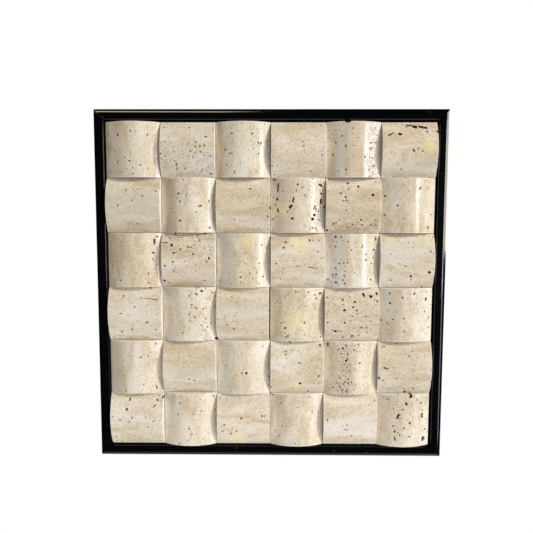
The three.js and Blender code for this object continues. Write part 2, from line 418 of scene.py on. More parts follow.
    # Smaller pits by chance, closer together in a pitted band
    pitShift = addNode(tree, "ShaderNodeVectorMath", {"operation": "ADD"}, {0: wobbled, 1: shift})
    pitScale = addNode(tree, "ShaderNodeVectorMath", {"operation": "DIVIDE"}, {
        0: pitShift, 1: given["Pit cell"]})
    pitPlace = addNode(tree, "ShaderNodeVectorMath", {"operation": "MULTIPLY"}, {
        0: pitScale, 1: (1, tile["pitLengthening"], 1)})
    cells = addNode(tree, "ShaderNodeTexVoronoi", {"voronoi_dimensions": "2D"}, {
        "Vector": pitPlace, "Scale": 1})
    chance = addNode(tree, "FunctionNodeSeparateColor", {}, {"Color": cells.outputs["Color"]})
    pitBand = bandMask(tree, share, given["Pitted band"])
    pitShare = addNode(tree, "ShaderNodeMath", {"operation": "MULTIPLY_ADD"}, {
        0: pitBand, 1: tile["bandPitting"], 2: given["Pitting"]})
    pitThere = addNode(tree, "ShaderNodeMath", {"operation": "LESS_THAN"}, {
        0: chance.outputs["Red"], 1: pitShare})
    pitRadius = addNode(tree, "ShaderNodeMapRange", {}, {
        "Value": chance.outputs["Green"], "To Min": tile["pitRadius"][0], "To Max": tile["pitRadius"][1]})
    pitInside = addNode(tree, "ShaderNodeMath", {"operation": "SUBTRACT"}, {
        0: pitRadius, 1: cells.outputs["Distance"]})
    pitShape = addNode(tree, "ShaderNodeMapRange", {"interpolation_type": "SMOOTHSTEP"}, {
        "Value": pitInside, "From Min": tile["pitEdge"][0], "From Max": tile["pitEdge"][1]})
    pitBowl = addNode(tree, "ShaderNodeMath", {"operation": "MULTIPLY"}, {0: pitShape, 1: pitThere})
    pitDeep = addNode(tree, "ShaderNodeMapRange", {}, {
        "Value": chance.outputs["Blue"], "To Min": tile["pitDepth"][0], "To Max": given["Pit depth"]})
    pit = addNode(tree, "ShaderNodeMath", {"operation": "MULTIPLY"}, {0: pitBowl, 1: pitDeep})
    sunk = addNode(tree, "ShaderNodeMath", {"operation": "MAXIMUM"}, {0: cavity, 1: pit})

    # What the stone's material reads: painted shade in the holes, yellow spots and tone, bands of other
    # colours (the pale one also with painted highlights), and pitted bands
    wear = addNode(tree, "ShaderNodeTexNoise", {}, {
        "Vector": stone, "Scale": tile["wearScale"], "Detail": 3})
    edgeGap = addNode(tree, "ShaderNodeVectorMath", {"operation": "SUBTRACT"}, {0: half, 1: fromMiddle})
    edgeParts = addNode(tree, "ShaderNodeSeparateXYZ", {}, {"Vector": edgeGap})
    edgeNearest = addNode(tree, "ShaderNodeMath", {"operation": "MINIMUM"}, {
        0: edgeParts.outputs["X"], 1: edgeParts.outputs["Y"]})
    # The arris is drawn pale along every edge: partly rubbed stone, partly a painted highlight
    edgeWearAndHighlight = addNode(tree, "ShaderNodeMapRange", {}, {
        "Value": edgeNearest, "From Min": tile["paleEdgeWidth"][0], "From Max": tile["paleEdgeWidth"][1],
        "To Max": tile["rimPaleness"]["arris"]})
    # Painted highlights: pale rims around the cavities and the pits
    cavityRimHighlight = addNode(tree, "ShaderNodeMapRange", {}, {
        "Value": within, "From Min": -tile["cavityRim"], "From Max": tile["cavityEdge"][0],
        "To Max": tile["rimPaleness"]["cavity"]})
    pitRimHighlight = addNode(tree, "ShaderNodeMapRange", {}, {
        "Value": pitInside, "From Min": -tile["pitRim"], "From Max": tile["pitEdge"][0],
        "To Max": tile["rimPaleness"]["pit"]})
    pitRim = addNode(tree, "ShaderNodeMath", {"operation": "MULTIPLY"}, {0: pitRimHighlight, 1: pitThere})
    rimHighlights = addNode(tree, "ShaderNodeMath", {"operation": "MAXIMUM"}, {0: cavityRimHighlight, 1: pitRim})
    wearAndHighlights = addNode(tree, "ShaderNodeMath", {"operation": "MAXIMUM"}, {0: edgeWearAndHighlight, 1: rimHighlights})
    yellowSpotParts = addNode(tree, "ShaderNodeSeparateXYZ", {}, {"Vector": given["Yellow spot"]})
    yellowSpotAt = addNode(tree, "ShaderNodeCombineXYZ", {}, {
        "X": yellowSpotParts.outputs["X"], "Y": yellowSpotParts.outputs["Y"]})
    yellowSpotGap = addNode(tree, "ShaderNodeVectorMath", {"operation": "DISTANCE"}, {0: here, 1: yellowSpotAt})
    yellowSpotNear = addNode(tree, "ShaderNodeMath", {"operation": "DIVIDE"}, {
        0: yellowSpotGap.outputs["Value"], 1: yellowSpotParts.outputs["Z"]})
    yellowSpotEdge = addNode(tree, "ShaderNodeMath", {"operation": "MULTIPLY_ADD"}, {
        0: drift, 1: tile["yellowSpotRaggedness"], 2: yellowSpotNear})
    yellowSpot = addNode(tree, "ShaderNodeMapRange", {"interpolation_type": "SMOOTHSTEP"}, {
        "Value": yellowSpotEdge, "From Min": tile["yellowSpotEdge"][0], "From Max": tile["yellowSpotEdge"][1],
        "To Max": tile["yellowSpotStrength"]})
    # Painted shade in the holes, full from a set depth
    hole = addNode(tree, "ShaderNodeMath", {"operation": "DIVIDE", "use_clamp": True}, {
        0: sunk, 1: tile["holeShadeDepth"]})
    marks = addNode(tree, "ShaderNodeCombineXYZ", {}, {"X": hole, "Y": yellowSpot, "Z": given["Tone"]})
    # The pale band also carries the painted highlights of arrises and rims
    pale = addNode(tree, "ShaderNodeMath", {"operation": "MAXIMUM"}, {
        0: bandMask(tree, share, given["Pale band"]), 1: wearAndHighlights})
    bands = addNode(tree, "ShaderNodeCombineXYZ", {}, {
        "X": bandMask(tree, share, given["Brown band"]),
        "Y": bandMask(tree, share, given["Grey band"]),
        "Z": pale})
    marked = flat
    for name, kind, value in (("marks", "FLOAT_VECTOR", marks), ("bands", "FLOAT_VECTOR", bands),
                              ("pitted", "FLOAT", pitBand)):
        marked = addNode(tree, "GeometryNodeStoreNamedAttribute", {"data_type": kind}, {
            "Geometry": marked, "Name": name, "Value": value})

    # Height of the face: the arch, less the worn arris, the sanding waves and the holes
    archHalf = addNode(tree, "ShaderNodeMath", {"operation": "MULTIPLY_ADD"}, {
        0: given["Across"], 1: 0.5, 2: -tile["arris"]})
    archSquare = addNode(tree, "ShaderNodeMath", {"operation": "MULTIPLY"}, {0: archHalf, 1: archHalf})
    riseSquare = addNode(tree, "ShaderNodeMath", {"operation": "MULTIPLY"}, {
        0: given["Crown rise"], 1: given["Crown rise"]})
    squares = addNode(tree, "ShaderNodeMath", {}, {0: archSquare, 1: riseSquare})
    twice = addNode(tree, "ShaderNodeMath", {"operation": "MULTIPLY"}, {0: given["Crown rise"], 1: 2})
    radius = addNode(tree, "ShaderNodeMath", {"operation": "DIVIDE"}, {0: squares, 1: twice})
    radiusSquare = addNode(tree, "ShaderNodeMath", {"operation": "MULTIPLY"}, {0: radius, 1: radius})
    acrossSquare = addNode(tree, "ShaderNodeMath", {"operation": "MULTIPLY"}, {
        0: parts.outputs["X"], 1: parts.outputs["X"]})
    under = addNode(tree, "ShaderNodeMath", {"operation": "SUBTRACT"}, {0: radiusSquare, 1: acrossSquare})
    arc = addNode(tree, "ShaderNodeMath", {"operation": "SQRT"}, {0: under})
    sagitta = addNode(tree, "ShaderNodeMath", {"operation": "SUBTRACT"}, {0: arc, 1: radius})
    arch = addNode(tree, "ShaderNodeMath", {}, {0: sagitta, 1: given["Crown rise"]})

    chip = addNode(tree, "ShaderNodeMapRange", {}, {
        "Value": wear, "From Min": tile["wornAt"][0], "From Max": tile["wornAt"][1],
        "To Min": tile["leastArris"], "To Max": given["Arris"]})
    bigChip = addNode(tree, "ShaderNodeMapRange", {}, {
        "Value": wear, "From Min": tile["chippedAt"][0], "From Max": tile["chippedAt"][1],
        "To Max": tile["chip"]})
    arris = addNode(tree, "ShaderNodeMath", {}, {0: chip, 1: bigChip})
    overEdge = addNode(tree, "ShaderNodeVectorMath", {"operation": "SUBTRACT"}, {0: arris, 1: edgeGap})
    overFlat = addNode(tree, "ShaderNodeVectorMath", {"operation": "MULTIPLY"}, {0: overEdge, 1: (1, 1, 0)})
    over = addNode(tree, "ShaderNodeVectorMath", {"operation": "MAXIMUM"}, {0: overFlat, 1: (0, 0, 0)})
    overLength = addNode(tree, "ShaderNodeVectorMath", {"operation": "LENGTH"}, {0: over})
    overReach = addNode(tree, "ShaderNodeMath", {"operation": "MINIMUM"}, {
        0: overLength.outputs["Value"], 1: arris})
    arrisSquare = addNode(tree, "ShaderNodeMath", {"operation": "MULTIPLY"}, {0: arris, 1: arris})
    overSquare = addNode(tree, "ShaderNodeMath", {"operation": "MULTIPLY"}, {0: overReach, 1: overReach})
    arrisLeft = addNode(tree, "ShaderNodeMath", {"operation": "SUBTRACT"}, {0: arrisSquare, 1: overSquare})
    arrisRoot = addNode(tree, "ShaderNodeMath", {"operation": "SQRT"}, {0: arrisLeft})
    drop = addNode(tree, "ShaderNodeMath", {"operation": "SUBTRACT"}, {0: arris, 1: arrisRoot})
    wave = addNode(tree, "ShaderNodeTexNoise", {}, {
        "Vector": stone, "Scale": tile["waveScale"], "Detail": 1})
    waved = addNode(tree, "ShaderNodeMath", {"operation": "MULTIPLY"}, {0: wave, 1: given["Waviness"]})
    lowered = addNode(tree, "ShaderNodeMath", {}, {0: drop, 1: waved})
    lost = addNode(tree, "ShaderNodeMath", {}, {0: lowered, 1: sunk})
    full = addNode(tree, "ShaderNodeMath", {}, {0: arch, 1: given["Edge thickness"]})
    height = addNode(tree, "ShaderNodeMath", {"operation": "SUBTRACT"}, {0: full, 1: lost})
    rise = addNode(tree, "ShaderNodeCombineXYZ", {}, {"Z": height})
    face = addNode(tree, "GeometryNodeSetPosition", {}, {"Geometry": marked, "Offset": rise})

    # Sawn sides and back
    neighbours = addNode(tree, "GeometryNodeInputMeshEdgeNeighbors")
    border = addNode(tree, "FunctionNodeCompare", {"data_type": "INT", "operation": "EQUAL"}, {
        "A": neighbours, "B": 1})
    sides = addNode(tree, "GeometryNodeExtrudeMesh", {"mode": "EDGES"}, {
        "Mesh": face, "Selection": border, "Offset Scale": 0})
    footprint = addNode(tree, "ShaderNodeCombineXYZ", {}, {
        "X": parts.outputs["X"], "Y": parts.outputs["Y"]})
    walls = addNode(tree, "GeometryNodeSetPosition", {}, {
        "Geometry": sides, "Selection": sides.outputs["Top"], "Position": footprint})
    loop = addNode(tree, "GeometryNodeMeshToCurve", {}, {"Mesh": walls, "Selection": sides.outputs["Top"]})
    filled = addNode(tree, "GeometryNodeFillCurve", {}, {"Curve": loop})
    back = addNode(tree, "GeometryNodeFlipFaces", {}, {"Mesh": filled})
    joined = addNode(tree, "GeometryNodeJoinGeometry")
    tree.links.new(back.outputs[0], joined.inputs[0])
    tree.links.new(walls.outputs[0], joined.inputs[0])
    closed = addNode(tree, "GeometryNodeMergeByDistance", {}, {
        "Geometry": joined, "Distance": tile["mergeGap"]})

    located = addNode(tree, "GeometryNodeStoreNamedAttribute", {"data_type": "FLOAT_VECTOR"}, {
        "Geometry": closed, "Name": "stone", "Value": stone})
    smooth = addNode(tree, "GeometryNodeSetShadeSmooth", {}, {"Geometry": located, "Shade Smooth": True})
    fold = addNode(tree, "GeometryNodeInputMeshEdgeAngle")
    steep = addNode(tree, "FunctionNodeCompare", {"operation": "GREATER_THAN"}, {
        "A": fold.outputs["Unsigned Angle"], "B": math.radians(tile["sharpAngle"])})
    edged = addNode(tree, "GeometryNodeSetShadeSmooth", {"domain": "EDGE"}, {
        "Geometry": smooth, "Selection": steep, "Shade Smooth": False})
    upright = addNode(tree, "ShaderNodeCombineXYZ", {}, {"X": math.pi / 2, "Y": given["Turn"]})
    placed = addNode(tree, "GeometryNodeTransform", {}, {
        "Geometry": edged, "Translation": given["Centre"], "Rotation": upright})
    real = addNode(tree, "GeometryNodeRealizeInstances", {}, {"Geometry": placed})
    dressed = addNode(tree, "GeometryNodeSetMaterial", {}, {
        "Geometry": real, "Material": given["Material"]})
    addNode(tree, "NodeGroupOutput", {}, {"Tile": dressed})
    return tree


# Marks of each tile. Places are shares (from the left, from the top). Cavities add a length and a width in
# mm and an angle, level at 0 and upright at 90, or one size alone if round. Bands are (from, to, strength)
# across the arch, from the left or the top. A yellow spot is a place and a radius in mm.
# Many bands lie where shade and light fall: brown and grey mostly on the left of upright tiles and the
# lower part of level tiles, as painted shade, and pale mostly on the right of upright tiles and the upper
# part of level tiles, as painted light.
tileMarks = {
    "1,1": {"brown": (0.18, 0.4, 0.45), "cavities": (
        (0.246, 0.245, 2.2, 1, 100), (0.46, 0.71, 1.3), (0.51, 0.84, 1), (0.225, 0.74, 2.5, 0.7, 90),
        (0.375, 0.65, 0.9))},
    "1,2": {"pitted": (0.35, 0.95, 0.22), "grey": (0.5, 1, 0.25), "cavities": (
        (0.805, 0.43, 1.5, 1, 20), (0.26, 0.71, 1.5, 0.6, -40), (0.74, 0.55, 0.8), (0.6, 0.645, 0.9),
        (0.74, 0.87, 1), (0.3, 0.8, 0.8))},
    "1,3": {"brown": (0, 0.12, 0.6), "cavities": (
        (0.176, 0.5, 1.5, 1, 90), (0.667, 0.22, 1.3), (0.63, 0.1, 0.8), (0.68, 0.49, 0.8),
        (0.2, 0.78, 0.8))},
    "1,4": {"cavities": ((0.92, 0.6, 0.9), (0.02, 0.79, 1), (0.06, 0.95, 1.6, 0.7, 0), (0.9, 0.07, 0.7))},
    "1,5": {"grey": (0.2, 0.3, 0.8), "brown": (0.3, 0.7, 0.4), "pale": (0.72, 1, 0.6),
            "pitted": (0.74, 0.92, 0.4), "cavities": (
        (0.376, 0, 5, 2.4, 0), (0.265, 0.255, 2, 0.9, 90), (0.46, 0.13, 0.9), (0.48, 0.44, 0.8),
        (0.34, 0.86, 1.1), (0.2, 0.89, 0.9), (0.79, 0.38, 1.5, 0.8, 25), (0.89, 0.37, 1.2),
        (0.79, 0.49, 1), (0.86, 0.79, 1.1), (0.77, 0.86, 1.2, 0.7, 60), (0.83, 0.65, 0.9))},
    "1,6": {"yellowSpot": (0.85, 0.4, 9), "grey": (0.7, 1, 0.4), "cavities": (
        (0.47, 0.06, 4.5, 1, 0), (0.58, 0.085, 5, 2, -15), (0.7, 0.09, 5, 1.6, -15),
        (0.78, 0.105, 2.5, 1.9, 0), (0.13, 0.235, 4, 1, 25), (0.19, 0.21, 2, 0.8, -10),
        (0.31, 0.225, 3.2, 2, -15),
        (1, 0.18, 3.5, 1.3, 0), (0.55, 0.52, 3, 1, -50), (0.34, 0.85, 0.8))},
    "2,1": {"grey": (0.3, 0.72, 0.55), "brown": (0.78, 1, 0.35), "cavities": (
        (0.375, 0.235, 1), (0.5, 0.21, 0.8), (0.59, 0.2, 0.8), (0.575, 0.837, 2.4, 0.6, 0),
        (0.7, 0.97, 0.8))},
    "2,2": {"brown": (0.08, 0.3, 0.75), "cavities": (
        (0.325, 0.286, 1.3), (0.47, 0.33, 2.5, 0.6, 80), (0.347, 0.78, 1.5), (0.736, 0.51, 1.3),
        (0.65, 0.626, 0.9), (0.42, 0.044, 1.1), (0.165, 0.556, 1), (0.66, 0.93, 1.1, 0.6, 80),
        (0.89, 0.9, 2, 0.6, 90))},
    "2,3": {"brown": (0.25, 0.6, 0.12), "cavities": ((0.25, 0.72, 0.7), (0.95, 0.7, 1))},
    "2,4": {"brown": (0.0, 0.4, 0.35), "pale": (0.7, 0.92, 0.5), "pitted": (0.7, 0.95, 0.22),
            "yellowSpot": (0.2, 0.55, 8), "cavities": (
        (0.06, 0.03, 2.2, 1.2, 0), (0.13, 0.17, 8, 1, 85), (0.115, 0.38, 2.6, 1.3, 85),
        (0.13, 0.59, 3.2, 1, 100), (0.405, 0.4, 5, 1.1, 82), (0.36, 0.52, 4, 1.6, 50),
        (0.31, 0.6, 3, 0.5, 60), (0.46, 0.22, 4, 0.5, 85), (0.62, 0.33, 3.5, 0.6, 115),
        (0.39, 0.74, 1.7), (0.91, 0.13, 3.6, 1.5, 140), (0.92, 0.28, 1.5), (0.915, 0.42, 4, 1.3, 90),
        (0.8, 0.53, 4, 0.6, 70), (0.8, 0.67, 1.8), (0.765, 0.75, 1.9), (0.76, 0.91, 1.1),
        (0.82, 0.92, 0.9), (1, 0.52, 2.2, 2, 0), (0.57, 0.17, 1))},
    "2,5": {"pale": (0.12, 0.2, 0.6), "brown": (0.25, 0.75, 0.25), "pitted": (0.76, 0.97, 0.4),
            "cavities": (
        (0.39, 0.09, 1.6), (0.59, 0.155, 1.5), (0.26, 0.28, 1.3), (0.845, 0.31, 2), (0.35, 0.35, 1.4),
        (0.36, 0.41, 1), (0.635, 0.76, 2, 1, -20), (0.49, 0.84, 1), (0.14, 0.83, 1.6, 0.8, 30),
        (0.03, 0.95, 1.6))},
    "2,6": {"cavities": (
        (0.08, 0.32, 1.4), (0.285, 0.5, 2.2, 1, 60), (0.07, 0.67, 1), (0.69, 0.19, 2.8, 0.8, 60),
        (0.92, 0.66, 1), (0.42, 0, 1.3), (0.15, 0.78, 0.8))},
    "3,1": {"cavities": (
        (0.87, 0.16, 4.8, 1.3, 85), (0.92, 0.06, 1.6, 0.8, 30), (0.85, 0.36, 1.4),
        (0.24, 0.88, 1.6, 0.9, 90), (0.27, 0.51, 0.9), (0.52, 0.23, 0.6), (0.26, 0.17, 0.9))},
    "3,2": {"pitted": (0, 0.35, 0.25), "brown": (0.6, 1, 0.25), "cavities": (
        (0.19, 0.22, 1.7), (0.226, 0.36, 2.6, 0.9, 20), (0.35, 0.3, 2.6, 0.7, 45),
        (0.08, 0.18, 3.6, 0.6, 0), (0.88, 0.46, 1.7), (0.21, 0.53, 1.2), (0.7, 0.13, 1.2, 0.7, 60),
        (0.8, 0.01, 2, 1.4, 20),
        (0.04, 0.88, 1.6), (0.78, 0.88, 1), (0.06, 0.6, 1.2), (0.25, 0.02, 0.9), (0.79, 0.28, 0.9))},
    "3,3": {"grey": (0.1, 0.35, 0.6), "yellowSpot": (0.55, 0.15, 9), "cavities": (
        (0.8, 0.55, 0.8), (0.87, 0.8, 1), (0.04, 0.06, 1.6, 0.8, -50), (0.07, 0.9, 0.9), (0.45, 0.9, 0.8))},
    "3,4": {"yellowSpot": (0.5, 0.2, 11), "cavities": (
        (0.235, 0.26, 2.2, 1, 10), (0.4, 0.24, 1.4, 0.5, 0), (0.72, 0.13, 1.3), (0.78, 0.13, 0.9),
        (0.9, 0.13, 1.3, 0.8, 45), (0.51, 0.6, 5, 0.45, 2), (0.78, 0.63, 10, 0.5, -8),
        (0.95, 0.45, 3.5, 0.5, 5), (0.1, 0.55, 1.1), (0.18, 0.84, 0.8), (0.02, 0.08, 1))},
    "3,5": {"grey": (0.1, 0.3, 0.5), "brown": (0.3, 0.45, 0.25), "pitted": (0.12, 0.4, 0.18), "cavities": (
        (0.18, 0.06, 2.2, 1.1, 80), (0.25, 0.55, 1.1), (0.33, 0.54, 1.1), (0.19, 0.64, 1.1),
        (0.2, 0.75, 1.3), (0.14, 0.76, 1), (0.06, 0.85, 1.1), (0.34, 0.78, 1.2), (0.89, 0.3, 1.3),
        (0.75, 0.38, 1),
        (0.85, 0.55, 1), (0.93, 0.1, 3.2, 1, 90), (0.74, 0.49, 1), (0.2, 0.9, 1.2), (0.35, 0.92, 1.1),
        (0.47, 0.3, 1.3, 0.7, -50))},
    "3,6": {"yellowSpot": (0.95, 0.1, 8), "grey": (0.15, 0.5, 0.4), "cavities": (
        (0.9, 0.71, 2), (0.57, 0.79, 1.6), (0.97, 0.36, 1), (0.33, 0.12, 0.8), (0.58, 0.85, 1))},
    "4,1": {"pale": (0.25, 0.42, 0.35), "brown": (0.6, 0.68, 0.3), "cavities": (
        (0.72, 0.65, 1.4), (0.28, 0.165, 1.1), (0.61, 0.195, 1.1), (0.8, 0.215, 14, 0.4, -6),
        (0.77, 0.01, 2.2, 1.2, 0), (0.5, 0.36, 0.8), (0.08, 0.96, 0.8))},
    "4,2": {"brown": (0, 0.08, 0.3), "pitted": (0.5, 0.95, 0.22), "cavities": (
        (0.74, 0.06, 1.9), (0.64, 0.115, 2.6, 1.2, -45), (0.63, 0.38, 3, 0.7, -45), (0.55, 0.32, 1),
        (0.6, 0.55, 1), (0.84, 0.74, 1), (0.93, 0.1, 1.2), (0.99, 0.97, 1.8))},
    "4,3": {"grey": (0.25, 0.6, 0.25), "cavities": ((0.2, 0.69, 1), (0.33, 0.77, 1), (0.0, 0.97, 2.2))},
    "4,4": {"yellowSpot": (0.42, 0.66, 15), "pitted": (0.1, 0.6, 0.1), "cavities": (
        (0.92, 0.11, 2.2, 1.5, 60), (0.85, 0.2, 1.2), (0.7, 0.08, 1.4, 0.8, -40), (0.27, 0.75, 1.6),
        (0.13, 0.25, 0.9), (0.27, 0.18, 1), (0.5, 0.06, 0.8), (0.32, 0.12, 0.9), (0.82, 0.13, 1))},
    "4,5": {"pitted": (0.05, 0.95, 0.12), "brown": (0.25, 0.6, 0.15), "cavities": (
        (0.72, 0.13, 3.4, 1.4, 110), (0.85, 0.15, 2.8, 1.5, -10), (0.965, 0.11, 2.6, 1.3, 110),
        (0.355, 0.41, 2.5, 1.5, 30), (0.37, 0.65, 2, 1, -50), (0.33, 0.22, 1.3), (0.55, 0.26, 1.4),
        (0.52, 0.35, 1.4), (0.58, 0.41, 1.1), (0.2, 0.81, 2.6, 1.4, 0), (0.28, 0.81, 4, 0.5, 0),
        (0.52, 0.91, 1.7), (0.35, 0.94, 1.2), (0.64, 0.89, 0.9), (0.78, 0.74, 0.9), (0.79, 0.83, 0.9),
        (0.05, 0.64, 1.5, 0.9, 30), (0.97, 0.24, 1.3))},
    "4,6": {"grey": (0.05, 0.2, 0.4), "brown": (0.2, 0.42, 0.35), "pale": (0.6, 1, 0.3), "cavities": (
        (0.87, 0.2, 3.2, 1.2, 85), (0.87, 0.06, 2, 0.6, 85), (0.2, 0.28, 1.5), (0.25, 0.58, 1),
        (0.44, 0.56, 1), (0.17, 0.68, 1.6, 0.6, 90))},
    "5,1": {"brown": (0.12, 0.3, 0.35), "pale": (0.45, 0.7, 0.3), "cavities": (
        (0.875, 0.9, 3.8, 1, 110), (0.74, 0.43, 0.9), (0.98, 0.93, 1), (0.3, 0.95, 1))},
    "5,2": {"grey": (0.5, 1, 0.25), "cavities": ((0.49, 0.72, 1), (0.59, 0.75, 0.9), (0.22, 0.93, 0.8))},
    "5,3": {"grey": (0.1, 0.28, 0.35), "brown": (0.45, 0.62, 0.18), "cavities": (
        (0.555, 0.6, 2.3, 1.4, 55), (0.07, 0.07, 1.4, 0.7, -60), (0.97, 0.86, 0.9), (0.09, 0.27, 0.7))},
    "5,4": {"yellowSpot": (0.47, 0.83, 10), "brown": (0.7, 0.95, 0.25), "cavities": (
        (0.56, 0.8, 1.5), (0.9, 0.65, 2, 1, 60), (0.29, 0.25, 0.9), (0.93, 0.08, 1.4),
        (0.41, 0.9, 2, 0.5, 0), (0.02, 0.88, 0.9), (0.37, 0.03, 1.3))},
    "5,5": {"pitted": (0.27, 0.48, 0.5), "brown": (0, 0.2, 0.2), "pale": (0.62, 0.72, 0.3), "cavities": (
        (0.34, 0.12, 1.4), (0.4, 0.06, 1.2), (0.32, 0.22, 1), (0.4, 0.36, 1.6), (0.27, 0.38, 1.1),
        (0.42, 0.48, 1.1), (0.36, 0.53, 1), (0.47, 0.55, 1.2), (0.44, 0.71, 1.2), (0.39, 0.76, 1.6, 1, 80),
        (0.45, 0.79, 1.3), (0.36, 0.8, 1.2), (0.17, 0.88, 1.7, 0.9, 60), (0.66, 0.4, 2, 0.5, 0),
        (0.4, 0.95, 1), (0.63, 0.04, 1), (0.07, 0.08, 1.3))},
    "5,6": {"grey": (0, 1, 0.2), "cavities": (
        (0.15, 0.5, 4, 0.8, -15), (0.11, 0.48, 1.4, 0.8, 40), (0.02, 0.68, 1.6), (0.35, 0.69, 0.9),
        (0.09, 0.73, 0.9), (0.53, 0.97, 2.6, 1.2, 60), (0.68, 0.9, 1.1), (0.5, 0.9, 1.3, 0.7, 45),
        (0.07, 0.13, 0.8))},
    "6,1": {"cavities": (
        (0.36, 0.13, 2.6, 1.3, 70), (0.31, 0.3, 2.6, 1.5, 60), (0.985, 0.085, 3, 1.3, 35),
        (0.88, 0.14, 1.4), (0.83, 0.235, 4, 0.6, 45), (0.82, 0.52, 3, 0.5, 50), (0.42, 0.46, 1.3),
        (0.67, 0.44, 0.9), (0.36, 0.53, 2.6, 0.5, 50), (0.05, 0.44, 0.8), (0.9, 0.05, 2, 0.6, -40),
        (0.7, 0.64, 1), (0.8, 0.88, 0.8))},
    "6,2": {"brown": (0.15, 0.35, 0.15), "cavities": (
        (0.27, 0.39, 2.8, 0.6, 80), (0.285, 0.96, 1.2), (0.53, 0.77, 1.1), (0.46, 0.89, 1.3, 0.7, 60),
        (0.7, 0.1, 1.6, 0.6, 70), (0.94, 0.07, 2, 0.6, 80), (0.72, 0.33, 1.4, 0.7, 40), (0.2, 0.63, 0.8))},
    "6,3": {"yellowSpot": (0.42, 0.85, 11), "brown": (0.08, 0.2, 0.2), "cavities": (
        (0.465, 0.46, 1.5), (0.26, 0.77, 1.3), (0.61, 0.84, 2.2, 0.5, 75), (0.05, 0.1, 2, 0.6, -50))},
    "6,4": {"brown": (0.12, 0.3, 0.2), "cavities": (
        (0.79, 0.33, 2, 0.7, 90), (0.52, 0.24, 0.9), (0.48, 0.94, 1.3, 0.8, 30), (0.2, 0.18, 1),
        (0.1, 0.72, 1, 0.5, 0))},
    "6,5": {"pale": (0.55, 0.85, 0.3), "cavities": (
        (0.07, 0.49, 1.7, 1, 80), (0.7, 0.015, 2.2, 1.1, 40), (0.44, 0.59, 0.9), (0.53, 0.8, 0.9),
        (0.96, 0.13, 0.8), (0.45, 0.67, 1))},
    "6,6": {"brown": (0.0, 0.5, 0.2), "pitted": (0.2, 0.9, 0.12), "cavities": (
        (0.62, 0.02, 3.2, 2, 60), (0.535, 0.16, 3.2, 1.6, -60), (0.39, 0.39, 3.6, 1.8, 50),
        (0.37, 0.44, 2, 1, 0), (0.85, 0.4, 4.6, 1.1, 80), (0.61, 0.54, 1.6), (0.5, 0.63, 1.2),
        (0.33, 0.7, 2.2, 1.1, 80), (0.34, 0.85, 3.8, 1, 100), (0.88, 0.86, 4.6, 1.3, 75),
        (0.92, 0.68, 1.2), (0.19, 0.09, 1.2), (0.42, 0.77, 1), (0.47, 0.27, 1.3), (0.86, 0.3, 1.1))},
}


def cavityLines(name, marks, across, along, upright):  # loose edges, one for each cavity
    mesh = bpy.data.meshes.new(name)
    corners = []
    halfWidths = []
    for right, down, length, *more in marks:
        width, angle = more or (length, 0)
        reach = max(length - width, 0.1) * mm / 2
        step = Vector((math.cos(math.radians(angle)), math.sin(math.radians(angle)))) * reach
        if upright:
            middle = Vector(((right - 0.5) * across, (0.5 - down) * along))
        else:
            middle = Vector(((down - 0.5) * across, (right - 0.5) * along))
            step = Vector((-step.y, step.x))
        corners += [(*(middle - step), 0), (*(middle + step), 0)]
        halfWidths.append(width * mm / 2)
    mesh.from_pydata(corners, [(i, i + 1) for i in range(0, len(corners), 2)], [])
    widths = mesh.attributes.new("halfWidth", "FLOAT", "EDGE")
    widths.data.foreach_set("value", halfWidths)
    return mesh


def bandOf(span):  # (from, to, strength) to (middle, half width, strength)
    start, end, strength = span
    return ((start + end) / 2, (end - start) / 2, strength)


def setInputs(modifier, values):
    for item in modifier.node_group.interface.items_tree:
        if item.in_out == "INPUT" and item.name in values:
            modifier[item.identifier] = values[item.name]


def makeTile(tree, row, column, chance):
    node = f"tile_row{row}_column{column}"
    low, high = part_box(node)
    upright = (row + column) % 2 == 0
    across, along = (high[0] - low[0], high[2] - low[2])
    if not upright:
        across, along = along, across
    marks = tileMarks[f"{row},{column}"]
    lines = cavityLines(node + "_cavities", marks["cavities"], across, along, upright)
    maker = bpy.data.objects.new(node + "_maker", lines)
    bpy.context.collection.objects.link(maker)

    sanded = chance.uniform(0, tile["lowerCrown"])
    yellowSpot = (1, 1, 1 * mm)  # far off the tile, so that none shows
    if "yellowSpot" in marks:
        right, down, radius = marks["yellowSpot"]
        yellowSpot = ((right - 0.5) * across, (0.5 - down) * along, radius * mm)
        if not upright:
            yellowSpot = ((down - 0.5) * across, (right - 0.5) * along, radius * mm)
    none = (0, 0, 0)
    modifier = maker.modifiers.new("archedTile", "NODES")
    modifier.node_group = tree
    setInputs(modifier, {
        "Across": across,
        "Along": along,
        "Edge thickness": high[1] - low[1] - tile["crownRise"],
        "Crown rise": tile["crownRise"] - sanded,
        "Arris": tile["arris"],
        "Cells": tile["cells"],
        "Edge cells": tile["edgeCells"],
        "Edge cell": tile["edgeCell"],
        "Waviness": tile["waviness"],
        "Pit cell": tile["pitCell"],
        "Pit depth": tile["pitDepth"][1],
        "Pitting": tile["pitting"],
        "Seed": tile["seed"] + tile["rows"] * row + column,
        "Tone": chance.uniform(-1, 1) * tile["toneSpread"],
        "Brown band": bandOf(marks.get("brown", none)),
        "Grey band": bandOf(marks.get("grey", none)),
        "Pale band": bandOf(marks.get("pale", none)),
        "Pitted band": bandOf(marks.get("pitted", none)),
        "Yellow spot": yellowSpot,
        "Turn": 0.0 if upright else math.pi / 2,
        "Centre": ((low[0] + high[0]) / 2, high[1], (low[2] + high[2]) / 2),
        "Material": stoneMaterial,
    })

    graph = bpy.context.evaluated_depsgraph_get()
    mesh = bpy.data.meshes.new_from_object(maker.evaluated_get(graph))
    bpy.data.objects.remove(maker)
    stone = bpy.data.objects.new(node + "_stone", mesh)
    bpy.context.collection.objects.link(stone)
    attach(stone, "root")
    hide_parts(node)


